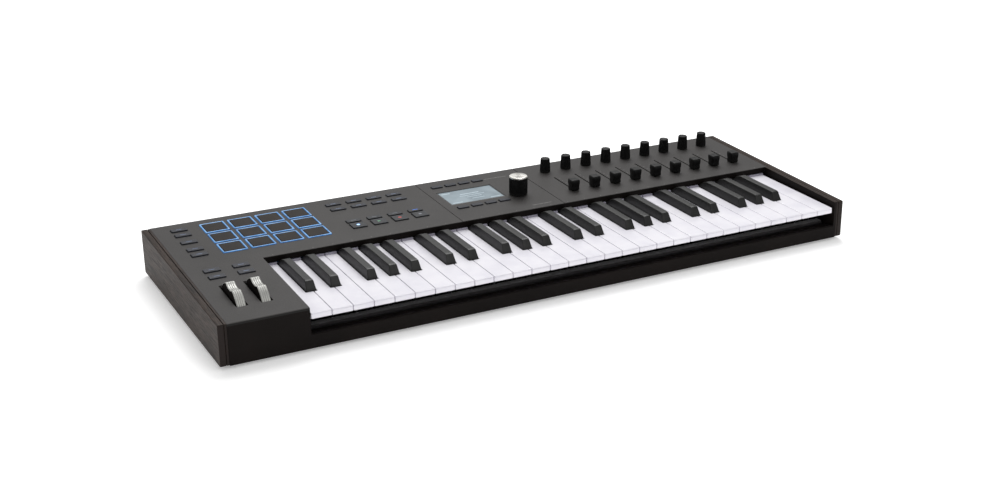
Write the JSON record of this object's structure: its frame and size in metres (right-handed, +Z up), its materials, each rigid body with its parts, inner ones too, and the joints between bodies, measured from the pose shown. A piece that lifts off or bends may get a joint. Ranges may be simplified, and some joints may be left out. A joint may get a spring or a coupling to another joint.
{
  "type": "keyboard controller",
  "caption": "Keyboard controller with piano keys, pads, two wheels, knobs, faders, buttons, a display and an encoder in a sloping case with wooden sides.",
  "frame": {"origin": "middle of the outline, on the surface that the feet stand on", "axes": "+X along the keys from the low notes to the high, +Y from the player to the back, +Z up"},
  "size_m": [0.795, 0.29, 0.0793],
  "materials": {
    "case_plastic": "fine moulded grain",
    "panel_coating": "matte powder coat",
    "walnut": "dark stained, oiled",
    "black_steel": "dipped in black paint",
    "ground_steel": "ground",
    "spring_steel": "drawn wire",
    "circuit_board": "solder mask",
    "felt": "pressed felt",
    "display_body": "moulded",
    "display_glass": "clear window over a lit panel",
    "light_guide": "translucent, lit blue",
    "component_body": "moulded",
    "component_steel": "plated",
    "socket_plastic": "moulded",
    "foot_rubber": "matte",
    "screw_steel": "zinc plated",
    "white_key": "semi gloss",
    "black_key": "fine texture",
    "knob_plastic": "soft touch",
    "encoder_aluminium": "anodised and knurled",
    "wheel_plastic": "ribbed silver tread",
    "pad_rubber": "matte silicone",
    "button_plastic": "satin",
    "transport_plastic": "satin, lit from inside"
  },
  "bodies": {
    "case": {"bottom_case": "case_plastic", "top_panel": "panel_coating", "left_side_panel": "walnut", "right_side_panel": "walnut", "keybed_frame": "black_steel", "key_pivot_rod": "ground_steel", "key_contact_board": "circuit_board", "key_springs": "spring_steel", "key_felts": "felt", "circuit_boards": "circuit_board", "display_module": "display_body", "display_window": "display_glass", "pad_light_frames": "light_guide", "knob_potentiometers": "component_body", "fader_tracks": "component_steel", "encoder_base": "component_body", "wheel_bracket": "case_plastic", "rear_sockets": "socket_plastic", "feet": "foot_rubber", "case_screws": "screw_steel"},
    "keys_c": {"keys_step_0": "white_key"},
    "keys_c_sharp": {"keys_step_1": "black_key"},
    "keys_d": {"keys_step_2": "white_key"},
    "keys_d_sharp": {"keys_step_3": "black_key"},
    "keys_e": {"keys_step_4": "white_key"},
    "keys_f": {"keys_step_5": "white_key"},
    "keys_f_sharp": {"keys_step_6": "black_key"},
    "keys_g": {"keys_step_7": "white_key"},
    "keys_g_sharp": {"keys_step_8": "black_key"},
    "keys_a": {"keys_step_9": "white_key"},
    "keys_a_sharp": {"keys_step_10": "black_key"},
    "keys_b": {"keys_step_11": "white_key"},
    "knob_1": {"knob_1": "knob_plastic"},
    "knob_2": {"knob_2": "knob_plastic"},
    "knob_3": {"knob_3": "knob_plastic"},
    "knob_4": {"knob_4": "knob_plastic"},
    "knob_5": {"knob_5": "knob_plastic"},
    "knob_6": {"knob_6": "knob_plastic"},
    "knob_7": {"knob_7": "knob_plastic"},
    "knob_8": {"knob_8": "knob_plastic"},
    "knob_9": {"knob_9": "knob_plastic"},
    "fader_1": {"fader_1": "knob_plastic"},
    "fader_2": {"fader_2": "knob_plastic"},
    "fader_3": {"fader_3": "knob_plastic"},
    "fader_4": {"fader_4": "knob_plastic"},
    "fader_5": {"fader_5": "knob_plastic"},
    "fader_6": {"fader_6": "knob_plastic"},
    "fader_7": {"fader_7": "knob_plastic"},
    "fader_8": {"fader_8": "knob_plastic"},
    "fader_9": {"fader_9": "knob_plastic"},
    "encoder_shaft": {"encoder_shaft": "ground_steel"},
    "encoder_knob": {"encoder_knob": "encoder_aluminium"},
    "pitch_wheel": {"pitch_wheel": "wheel_plastic"},
    "modulation_wheel": {"modulation_wheel": "wheel_plastic"},
    "pads": {"pads": "pad_rubber"},
    "column_buttons": {"column_buttons": "button_plastic"},
    "wheel_buttons": {"wheel_buttons": "button_plastic"},
    "grid_buttons": {"grid_buttons": "button_plastic"},
    "transport_buttons": {"transport_buttons": "transport_plastic"},
    "display_buttons": {"display_buttons": "button_plastic"}
  },
  "joints": [
    {"name": "keys_c_press", "type": "hinge", "parent": "case", "child": "keys_c", "pos_m": [0, 0.027, 0.038], "axis": [1, 0, 0], "range_deg": [0, 3.3], "stiffness_Nm_per_rad": 1.2, "springref_deg": -20.05},
    {"name": "keys_c_sharp_press", "type": "hinge", "parent": "case", "child": "keys_c_sharp", "pos_m": [0, 0.027, 0.038], "axis": [1, 0, 0], "range_deg": [0, 3.3], "stiffness_Nm_per_rad": 0.96, "springref_deg": -20.05},
    {"name": "keys_d_press", "type": "hinge", "parent": "case", "child": "keys_d", "pos_m": [0, 0.027, 0.038], "axis": [1, 0, 0], "range_deg": [0, 3.3], "stiffness_Nm_per_rad": 0.96, "springref_deg": -20.05},
    {"name": "keys_d_sharp_press", "type": "hinge", "parent": "case", "child": "keys_d_sharp", "pos_m": [0, 0.027, 0.038], "axis": [1, 0, 0], "range_deg": [0, 3.3], "stiffness_Nm_per_rad": 0.96, "springref_deg": -20.05},
    {"name": "keys_e_press", "type": "hinge", "parent": "case", "child": "keys_e", "pos_m": [0, 0.027, 0.038], "axis": [1, 0, 0], "range_deg": [0, 3.3], "stiffness_Nm_per_rad": 0.96, "springref_deg": -20.05},
    {"name": "keys_f_press", "type": "hinge", "parent": "case", "child": "keys_f", "pos_m": [0, 0.027, 0.038], "axis": [1, 0, 0], "range_deg": [0, 3.3], "stiffness_Nm_per_rad": 0.96, "springref_deg": -20.05},
    {"name": "keys_f_sharp_press", "type": "hinge", "parent": "case", "child": "keys_f_sharp", "pos_m": [0, 0.027, 0.038], "axis": [1, 0, 0], "range_deg": [0, 3.3], "stiffness_Nm_per_rad": 0.96, "springref_deg": -20.05},
    {"name": "keys_g_press", "type": "hinge", "parent": "case", "child": "keys_g", "pos_m": [0, 0.027, 0.038], "axis": [1, 0, 0], "range_deg": [0, 3.3], "stiffness_Nm_per_rad": 0.96, "springref_deg": -20.05},
    {"name": "keys_g_sharp_press", "type": "hinge", "parent": "case", "child": "keys_g_sharp", "pos_m": [0, 0.027, 0.038], "axis": [1, 0, 0], "range_deg": [0, 3.3], "stiffness_Nm_per_rad": 0.96, "springref_deg": -20.05},
    {"name": "keys_a_press", "type": "hinge", "parent": "case", "child": "keys_a", "pos_m": [0, 0.027, 0.038], "axis": [1, 0, 0], "range_deg": [0, 3.3], "stiffness_Nm_per_rad": 0.96, "springref_deg": -20.05},
    {"name": "keys_a_sharp_press", "type": "hinge", "parent": "case", "child": "keys_a_sharp", "pos_m": [0, 0.027, 0.038], "axis": [1, 0, 0], "range_deg": [0, 3.3], "stiffness_Nm_per_rad": 0.96, "springref_deg": -20.05},
    {"name": "keys_b_press", "type": "hinge", "parent": "case", "child": "keys_b", "pos_m": [0, 0.027, 0.038], "axis": [1, 0, 0], "range_deg": [0, 3.3], "stiffness_Nm_per_rad": 0.96, "springref_deg": -20.05},
    {"name": "knob_1_turn", "type": "hinge", "parent": "case", "child": "knob_1", "pos_m": [0.1155, 0.1162, 0.0558], "axis": [0, -0.0207, 0.9998], "range_deg": [-150, 150]},
    {"name": "knob_2_turn", "type": "hinge", "parent": "case", "child": "knob_2", "pos_m": [0.14581, 0.1162, 0.0558], "axis": [0, -0.0207, 0.9998], "range_deg": [-150, 150]},
    {"name": "knob_3_turn", "type": "hinge", "parent": "case", "child": "knob_3", "pos_m": [0.17612, 0.1162, 0.0558], "axis": [0, -0.0207, 0.9998], "range_deg": [-150, 150]},
    {"name": "knob_4_turn", "type": "hinge", "parent": "case", "child": "knob_4", "pos_m": [0.20643, 0.1162, 0.0558], "axis": [0, -0.0207, 0.9998], "range_deg": [-150, 150]},
    {"name": "knob_5_turn", "type": "hinge", "parent": "case", "child": "knob_5", "pos_m": [0.23674, 0.1162, 0.0558], "axis": [0, -0.0207, 0.9998], "range_deg": [-150, 150]},
    {"name": "knob_6_turn", "type": "hinge", "parent": "case", "child": "knob_6", "pos_m": [0.26705, 0.1162, 0.0558], "axis": [0, -0.0207, 0.9998], "range_deg": [-150, 150]},
    {"name": "knob_7_turn", "type": "hinge", "parent": "case", "child": "knob_7", "pos_m": [0.29736, 0.1162, 0.0558], "axis": [0, -0.0207, 0.9998], "range_deg": [-150, 150]},
    {"name": "knob_8_turn", "type": "hinge", "parent": "case", "child": "knob_8", "pos_m": [0.32767, 0.1162, 0.0558], "axis": [0, -0.0207, 0.9998], "range_deg": [-150, 150]},
    {"name": "knob_9_turn", "type": "hinge", "parent": "case", "child": "knob_9", "pos_m": [0.35798, 0.1162, 0.0558], "axis": [0, -0.0207, 0.9998], "range_deg": [-150, 150]},
    {"name": "fader_1_slide", "type": "slide", "parent": "case", "child": "fader_1", "axis": [0, 0.9998, 0.0207], "range_m": [0, 0.046]},
    {"name": "fader_2_slide", "type": "slide", "parent": "case", "child": "fader_2", "axis": [0, 0.9998, 0.0207], "range_m": [0, 0.046]},
    {"name": "fader_3_slide", "type": "slide", "parent": "case", "child": "fader_3", "axis": [0, 0.9998, 0.0207], "range_m": [0, 0.046]},
    {"name": "fader_4_slide", "type": "slide", "parent": "case", "child": "fader_4", "axis": [0, 0.9998, 0.0207], "range_m": [0, 0.046]},
    {"name": "fader_5_slide", "type": "slide", "parent": "case", "child": "fader_5", "axis": [0, 0.9998, 0.0207], "range_m": [0, 0.046]},
    {"name": "fader_6_slide", "type": "slide", "parent": "case", "child": "fader_6", "axis": [0, 0.9998, 0.0207], "range_m": [0, 0.046]},
    {"name": "fader_7_slide", "type": "slide", "parent": "case", "child": "fader_7", "axis": [0, 0.9998, 0.0207], "range_m": [0, 0.046]},
    {"name": "fader_8_slide", "type": "slide", "parent": "case", "child": "fader_8", "axis": [0, 0.9998, 0.0207], "range_m": [0, 0.046]},
    {"name": "fader_9_slide", "type": "slide", "parent": "case", "child": "fader_9", "axis": [0, 0.9998, 0.0207], "range_m": [0, 0.046]},
    {"name": "encoder_push", "type": "slide", "parent": "case", "child": "encoder_shaft", "axis": [0, 0.0207, -0.9998], "range_m": [0, 0.0007], "stiffness_N_per_m": 1500, "springref_m": -0.001},
    {"name": "encoder_turn", "type": "hinge", "parent": "encoder_shaft", "child": "encoder_knob", "pos_m": [0.046, 0.0573, 0.05459], "axis": [0, -0.0207, 0.9998], "continuous": true},
    {"name": "pitch_wheel_roll", "type": "hinge", "parent": "case", "child": "pitch_wheel", "pos_m": [-0.36, -0.0795, 0.03325], "axis": [1, 0, 0], "range_deg": [-38, 38], "stiffness_Nm_per_rad": 0.12},
    {"name": "modulation_wheel_roll", "type": "hinge", "parent": "case", "child": "modulation_wheel", "pos_m": [-0.3333, -0.0795, 0.03325], "axis": [1, 0, 0], "range_deg": [-38, 38]},
    {"name": "pads_press", "type": "slide", "parent": "case", "child": "pads", "axis": [0, 0.0207, -0.9998], "range_m": [0, 0.0008], "stiffness_N_per_m": 4000, "springref_m": -0.001},
    {"name": "column_buttons_press", "type": "slide", "parent": "case", "child": "column_buttons", "axis": [0, 0.0207, -0.9998], "range_m": [0, 0.0008], "stiffness_N_per_m": 800, "springref_m": -0.001},
    {"name": "wheel_buttons_press", "type": "slide", "parent": "case", "child": "wheel_buttons", "axis": [0, 0.0207, -0.9998], "range_m": [0, 0.0008], "stiffness_N_per_m": 800, "springref_m": -0.001},
    {"name": "grid_buttons_press", "type": "slide", "parent": "case", "child": "grid_buttons", "axis": [0, 0.0207, -0.9998], "range_m": [0, 0.0008], "stiffness_N_per_m": 800, "springref_m": -0.001},
    {"name": "transport_buttons_press", "type": "slide", "parent": "case", "child": "transport_buttons", "axis": [0, 0.0207, -0.9998], "range_m": [0, 0.0008], "stiffness_N_per_m": 800, "springref_m": -0.001},
    {"name": "display_buttons_press", "type": "slide", "parent": "case", "child": "display_buttons", "axis": [0, 0.0207, -0.9998], "range_m": [0, 0.0008], "stiffness_N_per_m": 800, "springref_m": -0.001}
  ]
}
